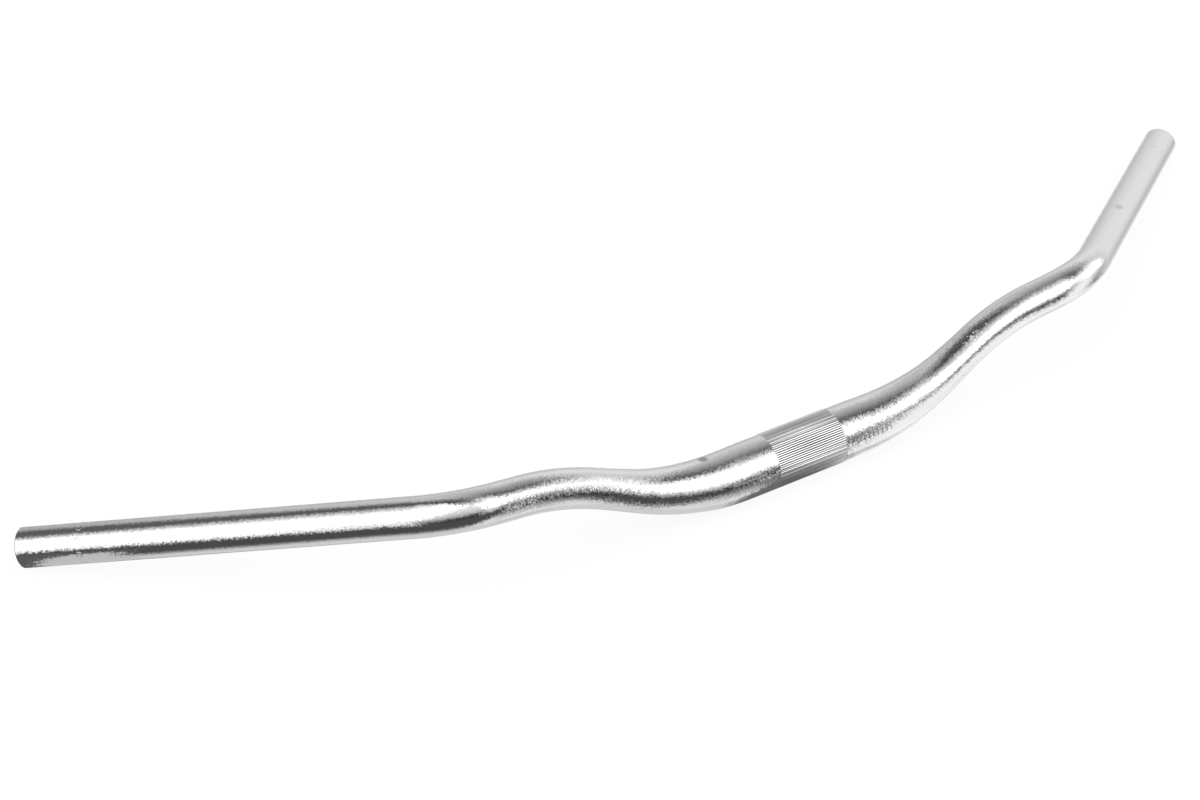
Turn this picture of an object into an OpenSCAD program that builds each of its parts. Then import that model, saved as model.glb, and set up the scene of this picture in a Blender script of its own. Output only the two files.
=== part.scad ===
// Swept-back riser handlebar: one butted aluminium tube, bent three times on each side.
//
// The bar lies as it comes to rest on a table, on the underside of its clamp
// and the rims of its two grips. The origin is the middle of the clamp, X runs
// along the clamp, the grips sweep back to +Y, and Z is up.
// Lengths are in millimetres and angles in degrees.
//
// From the middle outwards, each side is the knurled clamp, a taper that the first bend
// (the kick) runs through, the second bend (the shoulder), a short straight, the third
// bend (the elbow) and a long straight grip.

/* [Overall] */
// Width from end to end
bar_w = 800; // [740:5:840]
// Height of the grips' centre line above the clamp's, with the grips held level
rise = 38.5; // [28:0.5:48]
// Angle that the grips sweep back from the clamp's line
sweep = 38; // [30:0.5:44]

/* [Tube] */
// Outside diameter at the clamp
clamp_d = 31.8; // [30:0.1:35]
// Wall at the clamp
clamp_wall = 2.6; // [1.8:0.1:4]
// Outside diameter of the outer bends and the grips
grip_d = 22.2; // [19:0.1:25.4]
// Wall of the outer bends and the grips
grip_wall = 2; // [1.2:0.1:3]
// Length of the clamp at full diameter, where the tapers start
clamp_len = 68; // [56:1:80]

/* [Bends of one side] */
// Distance of the kick's corner from the middle
kick_x = 74; // [72:1:80]
// Radius of the kick, measured to the centre line
kick_r = 155; // [110:1:165]
// Distance of the shoulder's corner from the middle
shoulder_x = 145; // [140:1:152]
// How far the shoulder's corner lies behind the clamp's line
shoulder_back = 2; // [-4:0.5:8]
// Height of the shoulder's corner above the clamp's line
shoulder_up = 30.5; // [26:0.5:33]
// Radius of the shoulder, measured to the centre line
shoulder_r = 155; // [80:1:170]
// Distance of the elbow's corner from the middle
elbow_x = 205; // [200:1:220]
// How far the elbow's corner lies in front of the clamp's line
elbow_front = 2.5; // [-4:0.5:8]
// Radius of the elbow, measured to the centre line
elbow_r = 58; // [45:1:80]

/* [Knurled band] */
// Length of the knurled band in the middle of the clamp
knurl_len = 44; // [30:1:52]
// Number of lengthwise grooves all round
grooves = 78; // [60:1:90]
// Width of a groove at the surface
groove_w = 0.72; // [0.4:0.02:0.9]
// Depth of a groove
groove_depth = 0.34; // [0.16:0.02:0.5]

/* [Ends] */
// Bevel round the outside of each end
rim_bevel = 0.6; // [0.3:0.1:1]
// Bevel round the mouth of each end's bore
mouth_bevel = 0.5; // [0.3:0.1:0.8]

/* [Hidden] */
$fn = 96;
clamp_r = clamp_d / 2;
clamp_bore = clamp_r - clamp_wall;
grip_r = grip_d / 2;
grip_bore = grip_r - grip_wall;

// Faces round the outside and round the inside of the taper, and its longest step
outer_sides = 48;
inner_sides = 24;
ring_step = 5;
// Where two stretches of tube meet, one is this much slimmer than the other and reaches
// this far into it, because surfaces that only touch would leave the joint in doubt
skin = 0.02;
lap = 1;
// How much slimmer the taper's own ends are, where they have sunk into its neighbours
taper_end_in = 0.5;
// Height of the short cone on each end of a straight stretch. The cone sinks into the
// slimmer neighbour, which leaves no thin flat ring round the joint.
nose = 0.4;
// How far a cut runs past the surface that it leaves by
past = 1;

function unit(v) = v / norm(v);
function sum(v, n) = n <= 0 ? 0 : v[n - 1] + sum(v, n - 1);
function arc_angle(len, r) = len / r * 180 / PI;
function arc_len(angle, r) = angle * r * PI / 180;

// Corners of one side's centre line, with the grips held level
end_x = bar_w / 2 - (grip_r - rim_bevel) * sin(sweep);
grip_run = (end_x - elbow_x) / cos(sweep);
level_corners = [
    [0, 0, 0],
    [kick_x, 0, 0],
    [shoulder_x, shoulder_back, shoulder_up],
    [elbow_x, -elbow_front, rise],
    [end_x, grip_run * sin(sweep) - elbow_front, rise]
];

// The bar tips over until the rims of its grips touch the table that the clamp lies on.
// Each pass corrects how far a rim reaches below its own centre for the tilt found before.
rim_centre = level_corners[4] - rim_bevel * [cos(sweep), sin(sweep), 0];
function rim_reach(tilt) = grip_r * sqrt(1 - pow(sin(sweep) * sin(tilt), 2));
function rest_tilt(tilt, passes) = passes == 0 ? tilt : rest_tilt(
    atan2(rim_centre.z, rim_centre.y)
        + asin((clamp_r - rim_reach(tilt)) / norm([rim_centre.y, rim_centre.z])),
    passes - 1);
tilt = rest_tilt(0, 6);
function rested(p) = [
    p.x,
    p.y * cos(tilt) + p.z * sin(tilt),
    p.z * cos(tilt) - p.y * sin(tilt)
];
corners = [for (p = level_corners) rested(p)];

// Directions of the four straight runs, the three bends between them, and the lengths of
// both along the tube: run 0 is half the clamp's line, run 3 is the grip, bend 0 the kick
ways = [for (i = [0:3]) unit(corners[i + 1] - corners[i])];
radii = [kick_r, shoulder_r, elbow_r];
turns = [for (i = [0:2]) acos(ways[i] * ways[i + 1])];
cut_backs = [for (i = [0:2]) radii[i] * tan(turns[i] / 2)];
arcs = [for (i = [0:2]) arc_len(turns[i], radii[i])];
straights = [for (i = [0:3])
    norm(corners[i + 1] - corners[i])
        - (i > 0 ? cut_backs[i - 1] : 0) - (i < 3 ? cut_backs[i] : 0)];
bend_starts = [for (i = [0:2]) sum(straights, i + 1) + sum(arcs, i)];
bend_ends = [for (i = [0:2]) bend_starts[i] + arcs[i]];

// Where the taper and the grip lie along the tube, counted from the middle
taper_start = clamp_len / 2;
taper_len = bend_starts[1] - taper_start;
grip_start = bend_ends[2];
grip_len = straights[3];

// The direction from a bend's start towards the middle of its arc
function inward(i) = unit(ways[i + 1] - cos(turns[i]) * ways[i]);
// The run that a place s along the tube belongs to, together with the bend at its end
function run_of(s, i = 0) = i == 3 || s < bend_ends[i] ? i : run_of(s, i + 1);
// A point and a direction on the centre line, s along the tube
function on_line(s) = let (i = run_of(s))
    i == 3 ? corners[4] + (s - grip_start - grip_len) * ways[3] :
    let (
        start = corners[i + 1] - cut_backs[i] * ways[i],
        a = arc_angle(s - bend_starts[i], radii[i]))
    a <= 0 ? start + (s - bend_starts[i]) * ways[i] :
        start + radii[i] * (sin(a) * ways[i] + (1 - cos(a)) * inward(i));
function way_at(s) = let (
    i = run_of(s),
    a = i == 3 ? 0 : arc_angle(s - bend_starts[i], radii[i]))
    a <= 0 ? ways[i] : cos(a) * ways[i] + sin(a) * inward(i);

// The tube narrows along a curve that leaves and meets its neighbours level with them
function narrowed(s) = let (t = max(0, min(1, (s - taper_start) / taper_len)))
    t * t * (3 - 2 * t);
function outer_r(s) = clamp_r + (grip_r - clamp_r) * narrowed(s);
function inner_r(s) = clamp_bore + (grip_bore - clamp_bore) * narrowed(s);

// Places of the taper's rings, and the sideways direction of each, carried along the tube
// without twisting
last_ring = ceil(taper_len / ring_step);
ring_places = [for (k = [0:last_ring]) taper_start + taper_len * k / last_ring];
function square_to(way, v) = unit(v - (v * way) * way);
ring_sides = [
    for (k = 0, side = [0, 1, 0];
         k <= last_ring;
         k = k + 1, side = k <= last_ring ? square_to(way_at(ring_places[k]), side) : side)
    side
];

// One ring of points round the centre line, counted from its sideways direction
function ring(s, side, r, sides) = let (up = cross(way_at(s), side))
    [for (j = [0:sides - 1])
        on_line(s) + r * (cos(360 * j / sides) * side + sin(360 * j / sides) * up)];

// Skin over a list of rings, with both ends closed
module skinned(rings) {
    n = len(rings[0]);
    last = len(rings) - 1;
    polyhedron(
        points = [for (r = rings) each r],
        faces = concat(
            [[for (j = [0:n - 1]) j]],
            [for (i = [0:last - 1], j = [0:n - 1])
                let (a = i * n + j, b = i * n + (j + 1) % n)
                each [[a, a + n, b], [b, a + n, b + n]]],
            [[for (j = [n - 1:-1:0]) last * n + j]]));
}

module both_sides() {
    children();
    mirror([1, 0, 0]) children();
}

// Puts the Z axis along the tube, with the origin s along it
module along(s) {
    way = way_at(s);
    translate(on_line(s))
        rotate([0, acos(way.z), atan2(way.y, way.x)])
            children();
}

// The tapered stretch of one side, with the kick in it, solid and of radius sizes[k] at
// ring k. Its flat faces lie round the true circle, except at the clamp, where they start
// inside it. Its two ends reach into its neighbours.
module taper(sizes, sides) {
    skinned(concat(
        [
            ring(taper_start - lap, ring_sides[0], sizes[0] - taper_end_in, sides),
            ring(taper_start, ring_sides[0], sizes[0] - 2 * skin, sides)
        ],
        [for (k = [1:last_ring])
            ring(ring_places[k], ring_sides[k], sizes[k] / cos(180 / sides), sides)],
        [ring(bend_starts[1] + lap, ring_sides[last_ring],
            sizes[last_ring] - taper_end_in, sides)]));
}

// A straight stretch, solid and of radius r, along Z from the origin
module straight(len, r) {
    rotate_extrude()
        polygon([
            [0, -nose],
            [r - nose, -nose],
            [r, 0],
            [r, len],
            [r - nose, len + nose],
            [0, len + nose]
        ]);
}

// A bend of one size, solid and of radius r, that starts a length early and ends a length
// late
module bend(i, r, before, after) {
    side = inward(i);
    up = cross(ways[i], side);
    middle = on_line(bend_starts[i]) + radii[i] * side;
    early = arc_angle(before, radii[i]);
    late = arc_angle(after, radii[i]);
    multmatrix([
        [-side.x, ways[i].x, up.x, middle.x],
        [-side.y, ways[i].y, up.y, middle.y],
        [-side.z, ways[i].z, up.z, middle.z],
        [0, 0, 0, 1]
    ])
        rotate(-early)
            rotate_extrude(angle = early + turns[i] + late)
                translate([radii[i], 0]) circle(r);
}

// The shoulder, the short straight and the elbow of one side, solid and of radius r
module outer_bends(r) {
    bend(1, r - skin, 0, lap);
    along(bend_ends[1]) straight(straights[2], r);
    bend(2, r - skin, lap, lap);
}

// The straight middle of the bar, solid and of radius r, with Z along it
module clamp(r) {
    translate([0, 0, -clamp_len / 2]) straight(clamp_len, r);
}

// One V-shaped groove of the knurl, along Z, in the side of the clamp at +X
module groove() {
    edge_x = sqrt(pow(clamp_r, 2) - pow(groove_w / 2, 2));
    outer_w = groove_w * (groove_depth + past) / groove_depth;
    translate([0, 0, -knurl_len / 2])
        linear_extrude(knurl_len)
            polygon([
                [edge_x - groove_depth, 0],
                [edge_x + past, outer_w / 2],
                [edge_x + past, -outer_w / 2]
            ]);
}

module clamp_outside() {
    rotate([0, 90, 0])
        difference() {
            clamp(clamp_r);
            for (i = [0:grooves - 1])
                rotate(360 * i / grooves) groove();
        }
}

module clamp_hollow() {
    rotate([0, 90, 0]) clamp(clamp_bore);
}

// A straight grip, bevelled round its end
module grip_outside() {
    along(grip_start)
        rotate_extrude()
            polygon([
                [0, -nose],
                [grip_r - nose, -nose],
                [grip_r, 0],
                [grip_r, grip_len - rim_bevel],
                [grip_r - rim_bevel, grip_len],
                [0, grip_len]
            ]);
}

// The bore of a grip, opened out at its mouth and run past the end
module grip_hollow() {
    along(grip_start)
        rotate_extrude()
            polygon([
                [0, -nose],
                [grip_bore - nose, -nose],
                [grip_bore, 0],
                [grip_bore, grip_len - mouth_bevel],
                [grip_bore + mouth_bevel + past, grip_len + past],
                [0, grip_len + past]
            ]);
}

module handlebar() {
    color("silver")
        difference() {
            union() {
                clamp_outside();
                both_sides() {
                    taper([for (s = ring_places) outer_r(s)], outer_sides);
                    outer_bends(grip_r);
                    grip_outside();
                }
            }
            union() {
                clamp_hollow();
                both_sides() {
                    taper([for (s = ring_places) inner_r(s)], inner_sides);
                    outer_bends(grip_bore);
                    grip_hollow();
                }
            }
        }
}

handlebar();
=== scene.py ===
# %% [markdown]
# # Swept-back handlebar in satin aluminium
#
# The object is one aluminium tube: a thick clamp with a knurled band in the middle, a taper
# and two gentle bends on each side, a tighter bend, and two straight grips that sweep back.
# Everything below is in metres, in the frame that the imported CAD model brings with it: the
# origin is the middle of the clamp, X runs along it, and the grips go back to +Y.
#
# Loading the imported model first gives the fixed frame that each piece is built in.

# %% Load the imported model
import math

import bpy
import numpy as np
from mathutils import Matrix, Vector


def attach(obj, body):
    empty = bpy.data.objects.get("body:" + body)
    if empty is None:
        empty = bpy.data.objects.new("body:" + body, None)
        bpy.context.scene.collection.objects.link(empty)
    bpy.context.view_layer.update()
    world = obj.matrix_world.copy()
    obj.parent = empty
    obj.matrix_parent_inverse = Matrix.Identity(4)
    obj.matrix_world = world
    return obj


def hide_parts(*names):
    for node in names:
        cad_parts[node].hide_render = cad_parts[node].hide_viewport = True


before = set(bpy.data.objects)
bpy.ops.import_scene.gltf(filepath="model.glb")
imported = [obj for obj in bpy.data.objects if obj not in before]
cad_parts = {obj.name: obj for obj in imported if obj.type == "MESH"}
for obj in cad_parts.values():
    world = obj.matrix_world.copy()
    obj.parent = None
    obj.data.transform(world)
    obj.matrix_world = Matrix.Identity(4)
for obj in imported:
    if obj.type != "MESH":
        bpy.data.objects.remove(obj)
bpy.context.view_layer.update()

# %% [markdown]
# ## The sizes of the tube
#
# A maker of handlebars draws one side as a line with three corners, rounds the corners to
# the radii of the bending tools, and mirrors it. The sizes here are the CAD model's own, so
# the tube lies exactly where the solid is. The line could be read off the solid's mesh, but
# a line with named bends can be followed to any place along it, which the finish needs too.
# The corners are given as a rider holds the bar, with the grips level.

# %% The tube's sizes
MM = 0.001
BAR_WIDTH, SWEEP = 800 * MM, math.radians(38)
KICK = np.array([74, 0, 0]) * MM
SHOULDER = np.array([145, 2, 30.5]) * MM
ELBOW = np.array([205, -2.5, 38.5]) * MM
BEND_RADII = np.array([155, 155, 58]) * MM
CLAMP_RADIUS, GRIP_RADIUS = 15.9 * MM, 11.1 * MM
CLAMP_WALL, GRIP_WALL = 2.6 * MM, 2.0 * MM
TAPER_START = 34 * MM
RIM_BEVEL, MOUTH_BEVEL = 0.6 * MM, 0.5 * MM
KNURL_END = 22 * MM
GROOVES, GROOVE_WIDTH, GROOVE_DEPTH = 78, 0.72 * MM, 0.34 * MM

# %% [markdown]
# ## How the bar lies
#
# Left alone on a table, the bar tips over its clamp until the rims of its grips touch down.
# How far it tips depends on how deep a rim reaches below its own centre, and that depends
# on the tip, so a few rounds of the same sum settle it. The tip could be written down as an
# angle, but then it would be wrong as soon as a size above changed.

# %% Tip the corners over
outwards = np.array([math.cos(SWEEP), math.sin(SWEEP), 0])
end_x = BAR_WIDTH / 2 - (GRIP_RADIUS - RIM_BEVEL) * math.sin(SWEEP)
grip_end = ELBOW + (end_x - ELBOW[0]) / math.cos(SWEEP) * outwards
_, rim_y, rim_z = grip_end - RIM_BEVEL * outwards
tip = 0.0
for _ in range(6):
    reach = GRIP_RADIUS * math.sqrt(1 - (math.sin(SWEEP) * math.sin(tip)) ** 2)
    drop = (CLAMP_RADIUS - reach) / math.hypot(rim_y, rim_z)
    tip = math.atan2(rim_z, rim_y) + math.asin(drop)

tipped_over = np.array([[1, 0, 0],
                        [0, math.cos(tip), -math.sin(tip)],
                        [0, math.sin(tip), math.cos(tip)]])
CORNERS = np.array([np.zeros(3), KICK, SHOULDER, ELBOW, grip_end]) @ tipped_over
print(f"tipped over by {math.degrees(tip):.2f} degrees")


# %% [markdown]
# ## The centre line
#
# Each corner is replaced by an arc that touches both of its straight runs. Measuring the
# line by the distance walked along it from the middle, which is how a tube is marked out
# before bending, keeps the later steps simple: a place on the tube is one number.

# %% Follow the centre line
def unit(v):
    return v / np.linalg.norm(v)


WAYS = [unit(b - a) for a, b in zip(CORNERS, CORNERS[1:])]
TURNS = [math.acos(a @ b) for a, b in zip(WAYS, WAYS[1:])]
CUT_BACKS = [r * math.tan(t / 2) for r, t in zip(BEND_RADII, TURNS)]
ARCS = [r * t for r, t in zip(BEND_RADII, TURNS)]
STRAIGHTS = [np.linalg.norm(b - a) - before - after for a, b, before, after
             in zip(CORNERS, CORNERS[1:], [0] + CUT_BACKS, CUT_BACKS + [0])]
BEND_STARTS = [sum(STRAIGHTS[:i + 1]) + sum(ARCS[:i]) for i in range(3)]
GRIP_START = BEND_STARTS[2] + ARCS[2]
HALF_LENGTH = GRIP_START + STRAIGHTS[3]


def centre_line(s):
    """The point and the direction of the tube, a distance s along it from the middle."""
    run = sum(s >= start + arc for start, arc in zip(BEND_STARTS, ARCS))
    way = WAYS[run]
    if run == 3:
        return CORNERS[4] + (s - HALF_LENGTH) * way, way
    start = CORNERS[run + 1] - CUT_BACKS[run] * way
    angle = (s - BEND_STARTS[run]) / BEND_RADII[run]
    if angle <= 0:
        return start + (s - BEND_STARTS[run]) * way, way
    inward = unit(WAYS[run + 1] - math.cos(TURNS[run]) * way)
    point = start + BEND_RADII[run] * (math.sin(angle) * way + (1 - math.cos(angle)) * inward)
    return point, math.cos(angle) * way + math.sin(angle) * inward


print(f"tube before bending: {2 * HALF_LENGTH / MM:.1f} mm; bends of",
      [round(math.degrees(t), 1) for t in TURNS], "degrees")


# %% [markdown]
# ## Thickness along the tube
#
# A butted tube is thick and wide where the stem grips it and slim towards the hands. The
# taper runs through the first bend. A straight taper would show its two ends as kinks in the
# mirrored light. A smooth step, level at both ends, has no such edge.

# %% The radius at a place along the tube
def narrowed(s):
    t = np.clip((s - TAPER_START) / (BEND_STARTS[1] - TAPER_START), 0, 1)
    return t * t * (3 - 2 * t)


def outer_radius(s):
    return CLAMP_RADIUS + (GRIP_RADIUS - CLAMP_RADIUS) * narrowed(s)


def bore_radius(s):
    bore = CLAMP_RADIUS - CLAMP_WALL
    return bore + (GRIP_RADIUS - GRIP_WALL - bore) * narrowed(s)


print(f"radius at the first bend's end: {outer_radius(BEND_STARTS[0] + ARCS[0]) / MM:.2f} mm")

# %% [markdown]
# ## Points round the tube
#
# The knurl is a ring of straight V-shaped grooves that a toothed roller presses in, so that
# the stem bites. Each groove needs its own points: two on its edges, one at its bottom and
# one in the middle of the land beside it. A bump map would be lighter, but real grooves keep
# their shape at the outline and catch the light as cut metal does. The whole tube uses the
# same points round it, so one grid of faces runs from end to end without a seam.

# %% Angles of the points round the tube
pitch = 2 * math.pi / GROOVES
half_groove = GROOVE_WIDTH / 2 / CLAMP_RADIUS
steps = np.array([0, half_groove, pitch / 2, pitch - half_groove])
ANGLES = (-math.pi / 2 + pitch * np.arange(GROOVES)[:, None] + steps).ravel()
BORE_ANGLES = ANGLES[::4]
print(len(ANGLES), "points round the outside,", len(BORE_ANGLES), "round the bore")

# %% [markdown]
# ## Rings along the tube
#
# A ring is a place along the tube, a radius, and how deep the grooves are there. Rings stand
# close together where the tube bends or tapers and far apart where it is straight. The
# grooves rise to the surface over a quarter of a millimetre, as the roller leaves them.

# %% List the rings of one side, from the middle outwards
BENT_RINGS, GRIP_RINGS = 100, 12
GROOVE_RISE = 0.25 * MM

bent = np.linspace(TAPER_START, GRIP_START, BENT_RINGS)
straight = np.linspace(GRIP_START, HALF_LENGTH - RIM_BEVEL, GRIP_RINGS)[1:]
outer_rings = (
    [(0, CLAMP_RADIUS, GROOVE_DEPTH), (KNURL_END - GROOVE_RISE, CLAMP_RADIUS, GROOVE_DEPTH),
     (KNURL_END, CLAMP_RADIUS, 0), ((KNURL_END + TAPER_START) / 2, CLAMP_RADIUS, 0)]
    + [(s, outer_radius(s), 0) for s in bent]
    + [(s, GRIP_RADIUS, 0) for s in straight]
    + [(HALF_LENGTH, GRIP_RADIUS - RIM_BEVEL, 0)]
)
bore_rings = (
    [(0, bore_radius(0), 0)]
    + [(s, bore_radius(s), 0) for s in bent[::2]]
    + [(HALF_LENGTH - MOUTH_BEVEL, GRIP_RADIUS - GRIP_WALL, 0),
       (HALF_LENGTH, GRIP_RADIUS - GRIP_WALL + MOUTH_BEVEL, 0)]
)
print(len(outer_rings), "rings outside and", len(bore_rings), "inside, for one side")


# %% [markdown]
# ## Building the skin
#
# A tube could be made by sweeping a circle along a curve, but that gives no say over where
# the points round it fall. Here a sideways direction is carried from ring to ring and only
# ever tilted back square to the tube, which keeps the grid from twisting through the bends.
# The left side is the mirror image of the right one, so its rings have X turned round.

# %% Points of all rings, from the left end to the right
def ring_points(rings, angles):
    side, halves = np.array([0.0, 1.0, 0.0]), []
    for s, radius, depth in rings:
        point, way = centre_line(s)
        side = unit(side - (side @ way) * way)
        up = np.cross(way, side)
        radii = radius - depth * (np.arange(len(angles)) % 4 == 0)
        spokes = np.cos(angles)[:, None] * side + np.sin(angles)[:, None] * up
        halves.append(point + radii[:, None] * spokes)
    right = np.array(halves)
    left = right[:0:-1] * [-1, 1, 1]
    places = [s for s, _, _ in rings]
    return np.concatenate([left, right]), np.array([-s for s in places[:0:-1]] + places)


outside, outside_places = ring_points(outer_rings, ANGLES)
inside, inside_places = ring_points(bore_rings, BORE_ANGLES)
print(len(outside), "rings outside and", len(inside), "inside, from end to end")


# %% Faces between neighbouring rings
def grid_faces(first, rings, around, inward=False):
    i, j = np.meshgrid(np.arange(rings - 1), np.arange(around), indexing="ij")
    after = (j + 1) % around
    faces = first + np.stack([i * around + j, i * around + after, (i + 1) * around + after,
                              (i + 1) * around + j], axis=-1).reshape(-1, 4)
    return (faces[:, ::-1] if inward else faces).tolist()


def rim_faces(outer_first, bore_first, flip):
    """The flat ring at one end: five points of the outside meet two of the bore."""
    faces = []
    for k in range(GROOVES):
        outer = [outer_first + (4 * k + i) % len(ANGLES) for i in range(5)]
        face = outer + [bore_first + (k + 1) % GROOVES, bore_first + k]
        faces.append(face[::-1] if flip else face)
    return faces


bore_first = outside.shape[0] * len(ANGLES)
right_rim = bore_first - len(ANGLES), bore_first + (len(inside) - 1) * GROOVES
faces = grid_faces(0, len(outside), len(ANGLES), inward=True)
faces += grid_faces(bore_first, len(inside), GROOVES)
faces += rim_faces(0, bore_first, flip=False)
faces += rim_faces(*right_rim, flip=True)
print(len(faces), "faces")

# %% Make the mesh
SHARP_ANGLE = math.radians(30)

skin = bpy.data.meshes.new("bent_tube")
skin_points = np.concatenate([outside.reshape(-1, 3), inside.reshape(-1, 3)])
skin.from_pydata(skin_points.tolist(), [], faces)
skin.polygons.foreach_set("use_smooth", [True] * len(skin.polygons))
skin.set_sharp_from_angle(angle=SHARP_ANGLE)
bent_tube = bpy.data.objects.new("bent_tube", skin)
bpy.context.scene.collection.objects.link(bent_tube)
print(len(skin.vertices), "points, closed:",
      not any(n != 2 for n in np.bincount([l.edge_index for l in skin.loops])))

# %% [markdown]
# ## Rounded ridges
#
# The roller leaves the ridges between the grooves with rounded shoulders. Sharp shading along
# the shoulders would make each ridge look like a flat strip. Leaving only the bottoms sharp
# bends the mirrored light over each ridge as over a thin rod, so every ridge shows a bright
# line and a dark one. Rounding the shoulders in the mesh would look the same from here and
# double its faces.

# %% Soften the shoulders of the grooves
ends = np.zeros(2 * len(skin.edges), int)
skin.edges.foreach_get("vertices", ends)
ends = ends.reshape(-1, 2)
ring, column = ends // len(ANGLES), ends % len(ANGLES)
lengthwise = (ends < bore_first).all(axis=1) & (column[:, 0] == column[:, 1])
on_shoulder = lengthwise & (column[:, 0] % 2 == 1)
ring_places = np.abs(outside_places[np.minimum(ring, len(outside) - 1)])
soft = on_shoulder & (ring_places < KNURL_END).all(axis=1)
sharp = np.zeros(len(skin.edges), bool)
skin.attributes["sharp_edge"].data.foreach_get("value", sharp)
skin.attributes["sharp_edge"].data.foreach_set("value", sharp & ~soft)
print(int((sharp & soft).sum()), "shoulder edges softened")

# %% [markdown]
# ## A map of the tube
#
# Marks that belong to a place on the tube are easiest to lay out on its unrolled skin. This
# map gives every face corner its distance along the tube and its turn round it. The corner of
# the last face in a ring gets the turn 1 and not 0, so a mark never smears across the join.

# %% Distance along the tube and turn round it, at every face corner
along = np.concatenate([np.repeat(outside_places, len(ANGLES)),
                        np.repeat(inside_places, GROOVES)])
turn = np.concatenate([np.tile((ANGLES - ANGLES[0]) / (2 * math.pi), len(outside)),
                       np.tile((BORE_ANGLES - ANGLES[0]) / (2 * math.pi), len(inside))])
corner_points = np.zeros(len(skin.loops), int)
skin.loops.foreach_get("vertex_index", corner_points)
sizes = np.array([len(f) for f in faces])
owner = np.repeat(np.arange(len(faces)), sizes)
corner_turn = turn[corner_points]
widest = np.maximum.reduceat(corner_turn, np.concatenate([[0], np.cumsum(sizes)[:-1]]))
past_join = (widest[owner] > 0.75) & (corner_turn < 0.25)
unrolled = skin.uv_layers.new(name="unrolled")
unrolled.data.foreach_set("uv", np.stack([along[corner_points], corner_turn + past_join],
                                         axis=1).ravel())
print(f"map: {along.min():.4f} to {along.max():.4f} m along the tube")


# %% [markdown]
# ## Writing shaders as sums
#
# A finish is a small calculation. This class wraps one output of a node, so that ordinary
# arithmetic on it adds Math nodes, and one method adds any other node: its type, its
# settings, then what goes into its sockets. Adding and linking each node by hand would take
# five lines where a sum takes one.

# %% A socket that can be calculated with
class Wire:
    def __init__(self, tree, socket=None):
        self.tree, self.socket = tree, socket

    def add(self, kind, settings=None, inputs=None, output=0):
        node = self.tree.nodes.new(kind)
        for name, value in (settings or {}).items():
            setattr(node, name, value)
        for name, value in (inputs or {}).items():
            if isinstance(value, Wire):
                self.tree.links.new(value.socket, node.inputs[name])
            else:
                node.inputs[name].default_value = value
        return Wire(self.tree, node.outputs[output] if node.outputs else None)

    def combine(self, operation, *values):
        return self.add("ShaderNodeMath", {"operation": operation}, dict(enumerate(values)))

    def math(self, operation, *others):
        """A Math node that takes this value first."""
        return self.combine(operation, self, *others)

    def vector(self, operation, *values, output=0):
        return self.add("ShaderNodeVectorMath", {"operation": operation},
                        dict(enumerate(values)), output)

    def smooth(self, low, high):
        """0 below low, 1 above high, and a smooth step between them."""
        return self.add("ShaderNodeMapRange", {"interpolation_type": "SMOOTHSTEP"},
                        {"Value": self, "From Min": low, "From Max": high})

    def tint(self, colour, under):
        """A colour where this value is 1, over another where it is 0."""
        return self.add("ShaderNodeMix", {"data_type": "RGBA"},
                        {0: self, 6: under, 7: colour}, 2)

    def __add__(self, other):
        return self.math("ADD", other)

    def __sub__(self, other):
        return self.math("SUBTRACT", other)

    def __rsub__(self, other):
        return self.combine("SUBTRACT", other, self)

    def __mul__(self, other):
        return self.math("MULTIPLY", other)

    def __truediv__(self, other):
        return self.math("DIVIDE", other)

    def __rtruediv__(self, other):
        return self.combine("DIVIDE", other, self)

    def __abs__(self):
        return self.math("ABSOLUTE")

    __radd__, __rmul__ = __add__, __mul__


def new_tree(block):
    """Empty the node tree of a material or world, ready for its own nodes."""
    block.use_nodes = True
    block.node_tree.nodes.clear()
    return Wire(block.node_tree)


def grey(level):
    return level, level, level, 1.0


# %% [markdown]
# ## Satin aluminium
#
# The tube is blasted with fine beads and clear anodised. Each bead leaves a dimple hardly big
# enough to see, so the tube mirrors the room as a fine mosaic would: reflections are clean in
# their middle and break up into bright and dark grains at their borders. A rougher metal
# would blur those borders, and noise in the colour would look like dirt. So the skin is cut
# into cells less than a millimetre wide, and each cell tilts a little its own way.

# %% Start the metal: where each point is, and its bead-blasted skin
CELLS_PER_METRE, MOST_TILT = 1500.0, 0.045

satin = bpy.data.materials.new("satin_aluminium")
metal = new_tree(satin)
place = metal.add("ShaderNodeTexCoord", output="Object")
unrolled_place = metal.add("ShaderNodeUVMap", {"uv_map": "unrolled"})
u = metal.add("ShaderNodeSeparateXYZ", {}, {"Vector": unrolled_place}, "X")
v = metal.add("ShaderNodeSeparateXYZ", {}, {"Vector": unrolled_place}, "Y")
from_middle = abs(u)

chance = metal.add("ShaderNodeTexVoronoi", {"voronoi_dimensions": "3D", "feature": "F1"},
                   {"Vector": place, "Scale": CELLS_PER_METRE}, "Color")
tilt = metal.vector("MULTIPLY_ADD", chance, (2 * MOST_TILT,) * 3, (-MOST_TILT,) * 3)
level_skin = metal.add("ShaderNodeNewGeometry", output="Normal")


def blasted(where):
    """The skin's direction, with each cell tilted its own way where a mask says so."""
    tilted = metal.vector("ADD", level_skin, metal.vector("MULTIPLY", tilt, where))
    return metal.vector("NORMALIZE", tilted)


print(f"cells of about {1 / CELLS_PER_METRE / MM:.2f} mm")


# %% [markdown]
# ## Painted shade in the grooves
#
# The bottom of each of the knurl's grooves is painted darker. This is painted shade, for the
# light that doesn't reach down into a narrow groove, so each groove shows as a fine dark line
# even where it mirrors something bright. The map makes this easy: the turn times the number
# of grooves counts them, and what is left after the point says how far across the present
# groove the place lies. No two grooves get the same painted shade: every other groove gets
# more, and each a little by chance.

# %% Lines and spacings
SOFT = 0.1 * MM


def from_nearest(value, spacing):
    """Distance from the nearest whole multiple of the spacing."""
    return abs((value / spacing + 0.5).math("FRACT") - 0.5) * spacing


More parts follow.
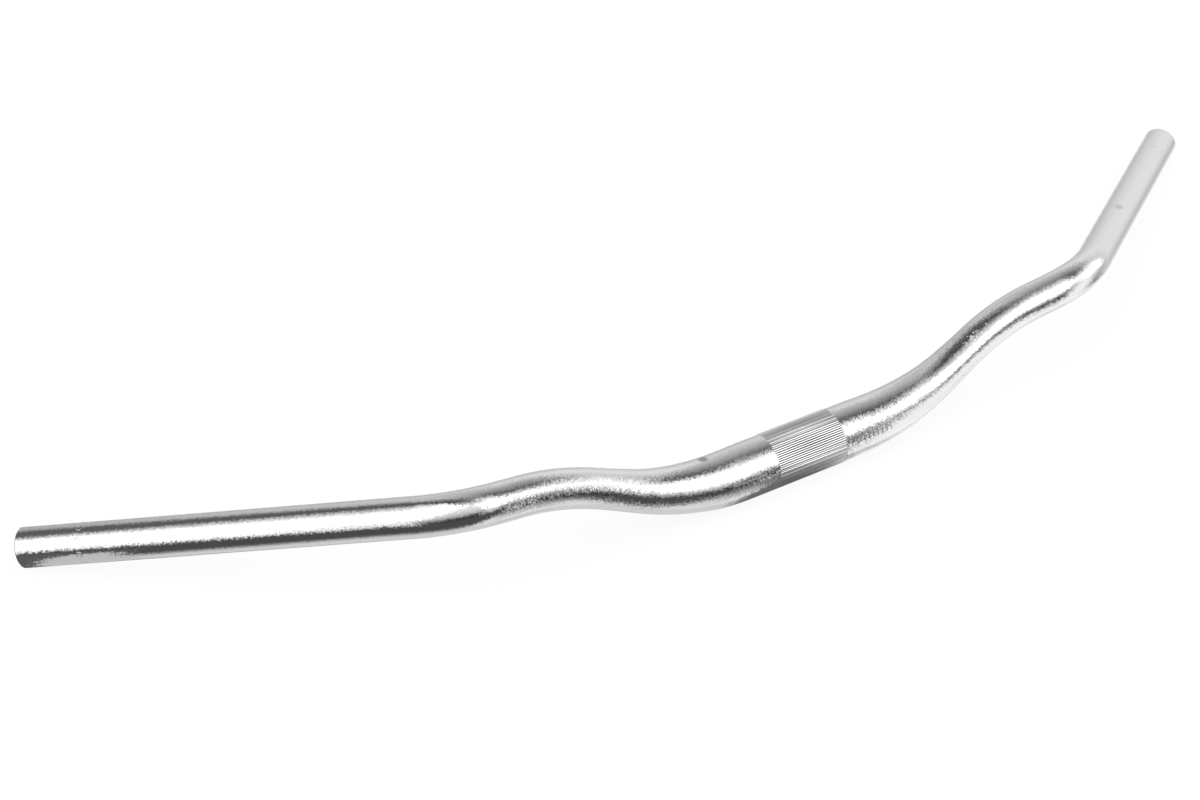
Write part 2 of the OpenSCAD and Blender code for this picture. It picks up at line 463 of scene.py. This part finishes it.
def stroke(distance, half_width):
    """1 along a line and 0 beside it, with a soft edge."""
    return 1 - distance.smooth(half_width - SOFT, half_width + SOFT)


# %% A mask of the painted shade in the groove bottoms
DARK_HALF = 0.24 * MM
ROUND_CLAMP, ROUND_GRIP = 2 * math.pi * CLAMP_RADIUS, 2 * math.pi * GRIP_RADIUS
LEAST_DARK, DARKER_BY_TURNS, DARKER_BY_CHANCE = 0.3, 0.45, 0.25

across_groove = from_nearest(v, 1 / GROOVES) * ROUND_CLAMP
groove_number = (v * GROOVES + 0.5).math("FLOOR").math("MODULO", GROOVES)
every_other = groove_number.math("MODULO", 2.0)
luck = metal.add("ShaderNodeTexWhiteNoise", {"noise_dimensions": "1D"}, {"W": groove_number})
share = LEAST_DARK + DARKER_BY_TURNS * every_other + DARKER_BY_CHANCE * luck
# Painted shade: the groove bottoms get a darker colour, standing for shade inside the knurl.
painted_groove_shade = stroke(across_groove, DARK_HALF) * stroke(from_middle, KNURL_END) * share
print(f"{GROOVES} grooves, {ROUND_CLAMP / GROOVES / MM:.2f} mm apart")

# %% [markdown]
# ## Fine etched marks
#
# Two kinds of marks help whoever fits the bar. On each side of the knurl, a ruled line with
# short cross strokes shows whether the stem sits in the middle. Near each end, nine small
# rings stand round the tube where a grip should cover them, or where it may be cut shorter.
# A laser leaves such marks as shallow, matt lines, so the same mask lowers the skin a little
# and roughens it. They could be modelled, but they are far finer than the mesh. Each is a
# simple figure on the unrolled skin, a line or a circle.

# %% The centring rules beside the knurl
RULE_START, RULE_END, RULE_TURN = 31 * MM, 52 * MM, 0.694
STROKE_GAP, STROKE_HALF, LINE_HALF = 3 * MM, 2.6 * MM, 0.35 * MM

round_clamp = abs(v - RULE_TURN) * ROUND_CLAMP
from_rule_middle = abs(from_middle - (RULE_START + RULE_END) / 2)
on_rule = stroke(from_rule_middle, (RULE_END - RULE_START) / 2)
long_line = stroke(round_clamp, LINE_HALF)
cross_strokes = (stroke(from_nearest(from_middle - RULE_START, STROKE_GAP), LINE_HALF)
                 * stroke(round_clamp, STROKE_HALF))
rules = on_rule * long_line.math("MAXIMUM", cross_strokes)
print(round((RULE_END - RULE_START) / STROKE_GAP) + 1, "cross strokes on each side")

# %% The rings near the ends
RING_PLACE, RING_TURN, RINGS = 412 * MM, 0.508, 9
RING_RADIUS, RING_LINE_HALF = 1.5 * MM, 0.25 * MM

beside = from_middle - RING_PLACE
above = from_nearest(v - RING_TURN, 1 / RINGS) * ROUND_GRIP
from_centre = (beside * beside + above * above).math("SQRT")
end_rings = stroke(abs(from_centre - RING_RADIUS), RING_LINE_HALF)
etched = rules + end_rings
print(f"rings {(HALF_LENGTH - RING_PLACE) / MM:.1f} mm from each end")


# %% [markdown]
# ## Handling marks
#
# A bar that has been picked up and turned in its stem is no longer evenly clean. Two faint
# thumb smudges dull the skin, and the finish varies a little over a few centimetres, since
# no one moves a blasting gun perfectly evenly. A wear mask along the edges would be the
# usual choice, but a tube has no edges to wear.

# %% Two smudges
def smudge(along, turn, radius):
    a, b = u - along, (v - turn) * ROUND_CLAMP
    return 1 - (a * a + b * b).smooth(0.0, radius * radius)


LEFT_SMUDGE, RIGHT_SMUDGE = (-62 * MM, 0.463, 4 * MM), (296 * MM, 0.508, 5 * MM)
RIGHT_FAINTER = 0.45

smudges = smudge(*LEFT_SMUDGE) + RIGHT_FAINTER * smudge(*RIGHT_SMUDGE)
print("smudges at", LEFT_SMUDGE[0], "and", RIGHT_SMUDGE[0], "m along the tube")

# %% [markdown]
# ## Putting the finish together
#
# The masks now darken, roughen and lower the same places. The colour is a stack of layers,
# the roughness is a sum, and the relief goes through the one Bump node in metres. Facets
# stop at the knurl, which the roller has pressed smooth, and at the etched lines.

# %% The metal's colour, roughness and relief
# The darkest grey is painted shade for the bottoms of the knurl's grooves.
CLEAN, SMUDGED, ETCHED, GROOVE_SHADE_GREY = grey(0.8), grey(0.35), grey(0.4), grey(0.08)
ETCH_DEPTH = 0.1 * MM
POLISH, UNEVEN_BY, ETCHED_BY, SMUDGED_BY, GROOVE_SHADE_ROUGHER_BY = 0.08, 0.04, 0.3, 0.1, 0.1
PATCHES = {"Scale": 60.0, "Detail": 3.0, "Roughness": 0.5}

colour = smudges.tint(SMUDGED, CLEAN)
colour = rules.tint(ETCHED, colour)
# Painted shade darkens the bottoms of the knurl's grooves.
colour = painted_groove_shade.tint(GROOVE_SHADE_GREY, colour)
uneven = metal.add("ShaderNodeTexNoise", {"noise_dimensions": "3D"},
                   {"Vector": place, **PATCHES}, "Fac")
roughness = (POLISH + UNEVEN_BY * uneven + ETCHED_BY * etched + SMUDGED_BY * smudges
             + GROOVE_SHADE_ROUGHER_BY * painted_groove_shade)
outside_knurl = from_middle.smooth(KNURL_END - 2 * SOFT, KNURL_END)
relief = metal.add("ShaderNodeBump", {}, {
    "Strength": 1.0, "Distance": 1.0, "Height": -ETCH_DEPTH * etched,
    "Normal": blasted(outside_knurl * (1 - etched))})
finish = metal.add("ShaderNodeBsdfPrincipled", {}, {
    "Base Color": colour, "Metallic": 1.0, "Roughness": roughness, "Normal": relief})
metal.add("ShaderNodeOutputMaterial", {}, {"Surface": finish})
skin.materials.append(satin)
print(len(satin.node_tree.nodes), "nodes in the metal")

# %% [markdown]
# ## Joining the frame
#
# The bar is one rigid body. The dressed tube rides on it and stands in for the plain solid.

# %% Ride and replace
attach(bent_tube, "root")
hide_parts("handlebar")
print("bent_tube rides on root")

# %% [markdown]
# ## The studio
#
# Polished metal is drawn by what stands round it. A product studio sets one wide soft box
# above and in front, a smaller one at the side, a low white card, and a pale wall behind,
# and leaves the camera's own side dark, which gives the tube its dark bands. Panels painted
# on the world's sky light the metal softly and evenly, and none of them gets in the picture.
# A panel with a level below 0 is a flag: it takes light away, as black cloth would.

# %% A panel on the sky
sky = bpy.data.worlds.new("studio")
room = new_tree(sky)
ray = room.add("ShaderNodeTexCoord", output="Generated")


def heading(azimuth, elevation):
    """A direction from two angles in degrees. Azimuth 0 is towards -Y and 90 towards +X."""
    a, e = math.radians(azimuth), math.radians(elevation)
    return Vector((math.sin(a) * math.cos(e), -math.cos(a) * math.cos(e), math.sin(e)))


def lean(direction):
    """How far the ray leans towards a direction, from -1 to 1."""
    return room.vector("DOT_PRODUCT", ray, tuple(direction), output="Value")


def panel(azimuth, elevation, roll, half_size, soft, level):
    """A rectangle in a direction, turned by the roll in degrees. Half its width and height,
    and how soft its edges are that way, are sizes at a distance of 1."""
    facing, flat = heading(azimuth, elevation), heading(azimuth + 90, 0)
    upright, t = flat.cross(facing), math.radians(roll)
    upright = upright if upright.z > 0 else -upright
    across, up = (math.cos(t) * flat + math.sin(t) * upright,
                  math.cos(t) * upright - math.sin(t) * flat)
    ahead = lean(facing)
    depth = ahead.math("MAXIMUM", 0.001)
    shape = level * ahead.math("GREATER_THAN", 0.0)
    for direction, half, edge in zip((across, up), half_size, soft):
        off_middle = abs(lean(direction)) / depth
        shape = shape * (1 - off_middle.smooth(half - edge / 2, half + edge / 2))
    return shape


# %% Hang the panels
overhead_box = panel(-27, 45, 17, half_size=(1.27, 0.85), soft=(0.30, 1.66), level=1.4)
left_box = panel(-70, 54, -13, half_size=(0.58, 0.64), soft=(0.68, 0.06), level=1.08)
side_box = panel(58, 33, -20, half_size=(0.67, 0.22), soft=(0.06, 0.71), level=1.4)
low_card = panel(43, -22, -15, half_size=(0.30, 0.88), soft=(0.38, 1.01), level=1.0)
back_wall = panel(121, 14, 41, half_size=(1.42, 0.67), soft=(1.46, 3.32), level=1.06)
back_card = panel(127, -44, 15, half_size=(1.28, 0.30), soft=(0.83, 0.45), level=0.89)
far_card = panel(-147, 47, -8, half_size=(0.46, 0.16), soft=(0.26, 0.50), level=0.06)
veil = panel(-29, 45, 14, half_size=(0.73, 1.23), soft=(0.10, 0.91), level=-0.6)
low_flag = panel(28, -33, 5, half_size=(0.06, 0.34), soft=(0.19, 1.10), level=-0.9)
top_flag = panel(111, 56, -18, half_size=(1.10, 0.20), soft=(0.51, 0.21), level=-0.28)
side_flag = panel(102, -15, -28, half_size=(0.58, 0.06), soft=(0.31, 0.49), level=-0.33)
print(len(sky.node_tree.nodes), "nodes for the panels")

# %% Add the table's glow from below, and light the world
ROOM_LEVEL, TABLE_LEVEL, DARKEST = 0.08, 0.67, 0.02
TABLE_FULL, TABLE_EDGE = math.radians(-78), math.radians(-43)

elevation = room.add("ShaderNodeSeparateXYZ", {}, {"Vector": ray}, "Z").math("ARCSINE")
table = 1 - elevation.smooth(TABLE_FULL, TABLE_EDGE)
glow = (ROOM_LEVEL + TABLE_LEVEL * table + overhead_box + left_box + side_box + low_card
        + back_wall + back_card + far_card + veil + low_flag + top_flag + side_flag)
glow = glow.math("MAXIMUM", DARKEST)
background = room.add("ShaderNodeBackground", {}, {"Color": glow, "Strength": 1.0})
room.add("ShaderNodeOutputWorld", {}, {"Surface": background})
bpy.context.scene.world = sky
print(len(sky.node_tree.nodes), "nodes in the sky")

# %% [markdown]
# ## The floor
#
# The bar lies on a sweep of pale paper: flat under the bar, and curving up far behind it, so
# that no horizon shows from any side. It is turned on a lathe as one smooth profile. The sky
# already holds the light that a white table throws back, so the paper itself isn't mirrored.
# Most of its brightness is its own, as on a light table, which leaves only faint shadows.

# %% Turn the paper sweep
MIDDLE_RADIUS, FLAT_RADIUS, SWEEP_RADIUS, AROUND = 1.0, 4.0, 4.0, 96
SHEET_GLOW, PAPER_WHITE = 0.92, grey(0.86)

rise_angles = np.radians(np.arange(3, 76, 3))
profile = [(MIDDLE_RADIUS, 0), (FLAT_RADIUS, 0)] + [
    (FLAT_RADIUS + SWEEP_RADIUS * math.sin(a), SWEEP_RADIUS * (1 - math.cos(a)))
    for a in rise_angles]
compass = [2 * math.pi * j / AROUND for j in range(AROUND)]
paper_points = [(r * math.cos(a), r * math.sin(a), z - CLAMP_RADIUS)
                for r, z in profile for a in compass]
paper_faces = [list(range(AROUND))] + grid_faces(0, len(profile), AROUND, inward=True)
paper_mesh = bpy.data.meshes.new("paper_sweep")
paper_mesh.from_pydata(paper_points, [], paper_faces)
paper_mesh.polygons.foreach_set("use_smooth", [True] * len(paper_mesh.polygons))
paper_sweep = bpy.data.objects.new("paper_sweep", paper_mesh)
bpy.context.scene.collection.objects.link(paper_sweep)

# %% Its material, and who sees it
pale = bpy.data.materials.new("pale_paper")
sheet = new_tree(pale)
matt = sheet.add("ShaderNodeBsdfDiffuse", {}, {"Color": PAPER_WHITE})
lit_through = sheet.add("ShaderNodeEmission", {}, {"Strength": 1.0})
both = sheet.add("ShaderNodeMixShader", {}, {0: SHEET_GLOW, 1: matt, 2: lit_through})
sheet.add("ShaderNodeOutputMaterial", {}, {"Surface": both})
paper_mesh.materials.append(pale)
paper_sweep.visible_glossy = paper_sweep.visible_shadow = paper_sweep.visible_diffuse = False
print("paper sweep,", 2 * (FLAT_RADIUS + SWEEP_RADIUS), "m across")

# %% [markdown]
# ## A soft ceiling
#
# The paper's matt share needs a light of its own. A very wide sun overhead does it, with the
# softest of shadows. The metal doesn't mirror it, since the sky's panels stand for all that
# the metal sees.

# %% Light the paper from above
lamp = bpy.data.lights.new("soft_ceiling", "SUN")
lamp.energy, lamp.angle = 1.5, math.radians(70)
soft_ceiling = bpy.data.objects.new("soft_ceiling", lamp)
bpy.context.scene.collection.objects.link(soft_ceiling)
soft_ceiling.visible_glossy = False
print("ceiling light,", round(math.degrees(lamp.angle)), "degrees wide")

# %% [markdown]
# ## Two cards close to the bar
#
# Some reflections in the underside keep their place along the tube, so they are mirror images
# of things near it: a pale arch at the left grip's end, and something dark under the clamp,
# such as the stand that holds it up. Cards hung close by show so, and the sky's panels can't.
# A lamp would add its light to what stands behind it, but a card hides that. Only mirrors see
# the cards, so they aren't in the picture.

# %% Hang a card
def hang(name, corners):
    """A flat card that only mirrors see. Returns the start of its paint and its own place."""
    mesh = bpy.data.meshes.new(name)
    mesh.from_pydata([tuple(c) for c in corners], [], [(0, 1, 2, 3)])
    hung = bpy.data.objects.new(name, mesh)
    bpy.context.scene.collection.objects.link(hung)
    hung.visible_camera = hung.visible_diffuse = hung.visible_shadow = False
    paint = bpy.data.materials.new(name + "_paint")
    mesh.materials.append(paint)
    start = new_tree(paint)
    return start, start.add("ShaderNodeTexCoord", output="Object")


def glowing(card, level):
    return card.add("ShaderNodeEmission", {}, {"Color": grey(level)})


def paint_card(card, mask, under, over):
    both = card.add("ShaderNodeMixShader", {}, {0: mask, 1: under, 2: over})
    card.add("ShaderNodeOutputMaterial", {}, {"Surface": both})


# %% Hang the card of the arch beside the left grip
ARCH_PLACE, ARCH_AWAY = 412 * MM, 100 * MM
LEFT, RIGHT, TOP, BOTTOM = -28 * MM, 90 * MM, -80 * MM, 140 * MM

mirror_x = Vector((-1, 1, 1))
towards = heading(-65.8, -51.85)
along_grip = Vector(WAYS[3]) * mirror_x
along_card = (along_grip - along_grip.dot(towards) * towards).normalized()
down_card = towards.cross(along_card)
card_middle = Vector(centre_line(ARCH_PLACE)[0]) * mirror_x + ARCH_AWAY * towards
card, spot = hang("end_card", [card_middle + x * along_card + y * down_card for x, y in
                               ((LEFT, TOP), (RIGHT, TOP), (RIGHT, BOTTOM), (LEFT, BOTTOM))])
print("arch card at", [round(c, 3) for c in card_middle])


# %% Paint the pale arch: round above its spring line, with legs that spread below it
SPRING, ARCH_HEIGHT, ARCH_HALF, SPREAD, ASIDE = 12 * MM, 70 * MM, 24 * MM, 0.28, 4 * MM
ARCH_DARK, ARCH_PALE, ARCH_SOFT = 0.12, 0.62, (0.8, 1.2)


def across_card(direction):
    """Distance from the card's middle along a direction."""
    return (card.vector("DOT_PRODUCT", spot, tuple(direction), output="Value")
            - card_middle.dot(direction))


below_spring = across_card(down_card) - SPRING
round_top = below_spring.math("MINIMUM", 0.0) / ARCH_HEIGHT
half_width = ARCH_HALF + SPREAD * below_spring.math("MAXIMUM", 0.0)
sideways = (across_card(along_card) + ASIDE) / half_width
arch = 1 - (sideways * sideways + round_top * round_top).smooth(*ARCH_SOFT)
paint_card(card, arch, glowing(card, ARCH_DARK), glowing(card, ARCH_PALE))
print("arch", round(2 * ARCH_HALF / MM), "mm wide at its spring line")

# %% Hang and paint the dark stand under the clamp: an upright that spreads to the front
STAND_DROP, STAND_LEVEL = 150 * MM, 0.16
LEFT, RIGHT, FRONT, BACK = -30 * MM, 220 * MM, -350 * MM, 140 * MM
STAND_LEFT, STAND_RIGHT, LEFT_SPREAD, RIGHT_SPREAD = 3 * MM, 100 * MM, 0.4, 0.3
LEFT_SPREADS_AT, RIGHT_SPREADS_AT = -20 * MM, -90 * MM
LEFT_SOFT, RIGHT_SOFT = (-16 * MM, 22 * MM), (-15 * MM, 15 * MM)
FRONT_SOFT, BACK_SOFT = (-340 * MM, -300 * MM), (80 * MM, 130 * MM)

card, spot = hang("stand_card", [(LEFT, FRONT, -STAND_DROP), (RIGHT, FRONT, -STAND_DROP),
                                 (RIGHT, BACK, -STAND_DROP), (LEFT, BACK, -STAND_DROP)])
x = card.add("ShaderNodeSeparateXYZ", {}, {"Vector": spot}, "X")
y = card.add("ShaderNodeSeparateXYZ", {}, {"Vector": spot}, "Y")
left_edge = STAND_LEFT + LEFT_SPREAD * (LEFT_SPREADS_AT - y).math("MAXIMUM", 0.0)
right_edge = STAND_RIGHT + RIGHT_SPREAD * (RIGHT_SPREADS_AT - y).math("MAXIMUM", 0.0)
opaque = ((x - left_edge).smooth(*LEFT_SOFT) * (1 - (x - right_edge).smooth(*RIGHT_SOFT))
          * (1 - y.smooth(*BACK_SOFT)) * y.smooth(*FRONT_SOFT))
clear = card.add("ShaderNodeBsdfTransparent")
paint_card(card, opaque, clear, glowing(card, STAND_LEVEL))
print("stand card", STAND_DROP, "m under the clamp's line")

# %% [markdown]
# ## The camera
#
# The camera stands in front of the bar, to its right-hand side and above it, with a short
# telephoto lens, and is turned by a degree about its own axis. Its place and turn come from
# matching the tube's outline to the photograph.

# %% Place the camera
CAMERA_AZIMUTH, CAMERA_ELEVATION, CAMERA_ROLL = -29.263, 37.511, -1.31
SIGHT, DISTANCE = Vector((-71.2, 95.6, 0)) * MM, 1.238

lens = bpy.data.cameras.new("camera")
lens.sensor_width, lens.lens = 36.0, 65.17
lens.clip_start, lens.clip_end = 0.05, 60
camera = bpy.data.objects.new("camera", lens)
bpy.context.scene.collection.objects.link(camera)
turned = (Matrix.Rotation(math.radians(CAMERA_AZIMUTH), 4, "Z")
          @ Matrix.Rotation(math.radians(90 - CAMERA_ELEVATION), 4, "X")
          @ Matrix.Rotation(math.radians(CAMERA_ROLL), 4, "Z"))
stands_at = SIGHT + DISTANCE * heading(CAMERA_AZIMUTH, CAMERA_ELEVATION)
camera.matrix_world = Matrix.Translation(stands_at) @ turned
bpy.context.scene.camera = camera
bpy.context.scene.view_settings.view_transform = "Standard"
print("camera at", [round(c, 3) for c in stands_at])
